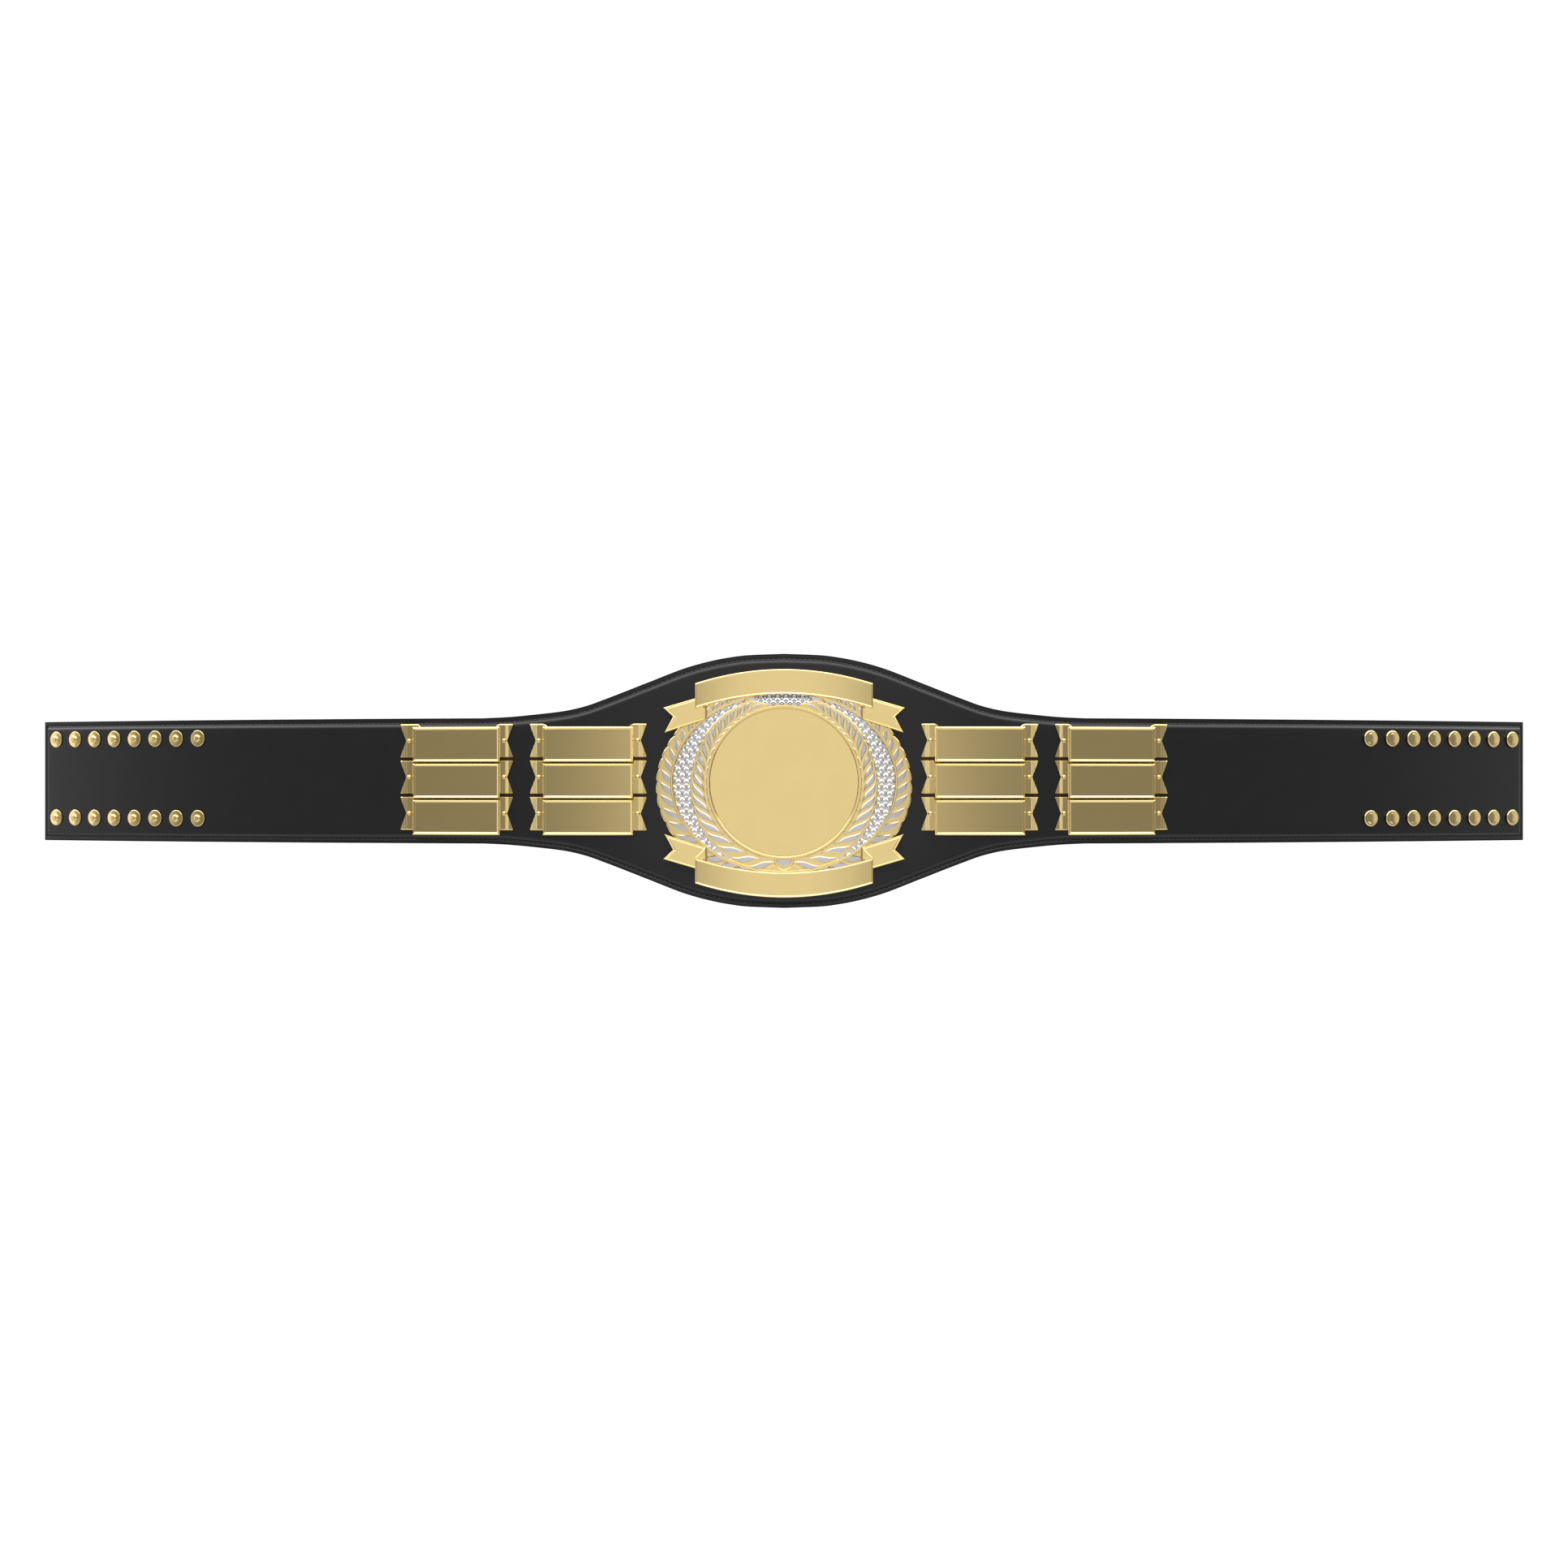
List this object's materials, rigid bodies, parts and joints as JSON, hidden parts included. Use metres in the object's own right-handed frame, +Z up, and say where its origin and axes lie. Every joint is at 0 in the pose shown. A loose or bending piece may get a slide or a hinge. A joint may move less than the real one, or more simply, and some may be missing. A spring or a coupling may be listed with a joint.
{
  "type": "championship title belt",
  "caption": "Padded leather title belt bent as round a waist, with a blank round centre plate in a laurel wreath, blank ribbon side plates and snap fasteners at both ends.",
  "frame": {"origin": "the strap's back face, at the middle of its length and of its width", "axes": "+X along the belt to the right seen from the front, +Y from the front towards the wearer, +Z up"},
  "size_m": [1.2728, 0.2025, 0.204],
  "materials": {
    "leather": "satin fine grain",
    "snap_brass": "polished",
    "plate_gold": "satin, bright edges",
    "centre_gold": "fine blasted, bright edges",
    "stone_silver": "bright"
  },
  "bodies": {
    "root": {"strap": "leather", "snap_post_01": "snap_brass", "snap_post_02": "snap_brass", "snap_post_03": "snap_brass", "snap_post_04": "snap_brass", "snap_post_05": "snap_brass", "snap_post_06": "snap_brass", "snap_post_07": "snap_brass", "snap_post_08": "snap_brass", "snap_post_09": "snap_brass", "snap_post_10": "snap_brass", "snap_post_11": "snap_brass", "snap_post_12": "snap_brass", "snap_post_13": "snap_brass", "snap_post_14": "snap_brass", "snap_post_15": "snap_brass", "snap_post_16": "snap_brass", "snap_cap_01": "snap_brass", "snap_cap_02": "snap_brass", "snap_cap_03": "snap_brass", "snap_cap_04": "snap_brass", "snap_cap_05": "snap_brass", "snap_cap_06": "snap_brass", "snap_cap_07": "snap_brass", "snap_cap_08": "snap_brass", "snap_cap_09": "snap_brass", "snap_cap_10": "snap_brass", "snap_cap_11": "snap_brass", "snap_cap_12": "snap_brass", "snap_cap_13": "snap_brass", "snap_cap_14": "snap_brass", "snap_cap_15": "snap_brass", "snap_cap_16": "snap_brass", "side_plate_01": "plate_gold", "side_plate_02": "plate_gold", "side_plate_03": "plate_gold", "side_plate_04": "plate_gold", "side_plate_05": "plate_gold", "side_plate_06": "plate_gold", "side_plate_07": "plate_gold", "side_plate_08": "plate_gold", "side_plate_09": "plate_gold", "side_plate_10": "plate_gold", "side_plate_11": "plate_gold", "side_plate_12": "plate_gold", "backing_plate": "centre_gold", "oval_rail": "centre_gold", "centre_disc": "centre_gold", "disc_rim": "centre_gold", "outer_laurel_left": "centre_gold", "outer_laurel_right": "centre_gold", "inner_laurel_left": "centre_gold", "inner_laurel_right": "centre_gold", "laurel_bud": "centre_gold", "top_banner": "centre_gold", "bottom_banner": "centre_gold", "stone_field_left": "stone_silver", "stone_field_right": "stone_silver", "stone_field_top": "stone_silver"}
  },
  "joints": []
}
